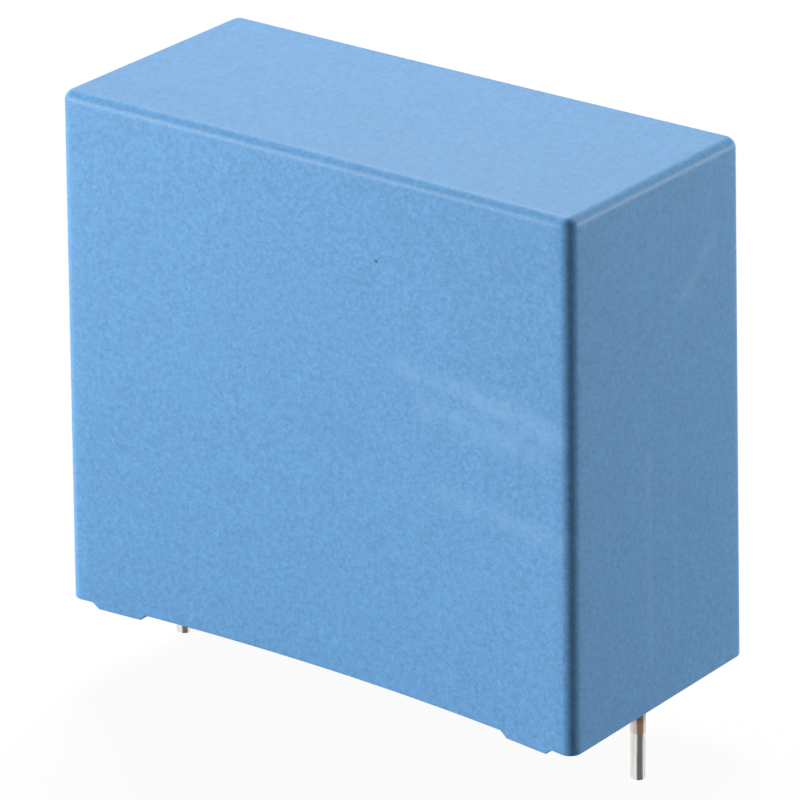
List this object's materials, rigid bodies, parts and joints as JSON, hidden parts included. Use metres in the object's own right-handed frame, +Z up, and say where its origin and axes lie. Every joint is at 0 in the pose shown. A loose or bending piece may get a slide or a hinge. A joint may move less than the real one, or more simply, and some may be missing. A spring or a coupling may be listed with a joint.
{
  "type": "box film capacitor",
  "caption": "Radial film capacitor in a drafted, potted plastic box with drawn-in long walls, standoff feet and in-line wire leads.",
  "frame": {"origin": "midway between the two leads on the seating plane, which is the plane under the four feet", "axes": "+X along the case from one lead towards the other, +Z up from the board through the case, +Y across the narrow case"},
  "size_m": [0.041, 0.0188, 0.0412],
  "materials": {
    "case_plastic": "light blue moulded plastic with a fine spark-eroded grain",
    "resin": "cast epoxy, dark blue-grey, slightly glossy",
    "metallised_film": "metallised polypropylene film, wound and pressed flat",
    "end_metal": "sprayed zinc, rough and grey",
    "tinned_wire": "tinned copper wire, satin, with drawing marks along it"
  },
  "bodies": {
    "root": {"case": "case_plastic", "potting_resin": "resin", "film_winding": "metallised_film", "end_spray_left": "end_metal", "end_spray_right": "end_metal", "lead_left": "tinned_wire", "lead_right": "tinned_wire"}
  },
  "joints": []
}
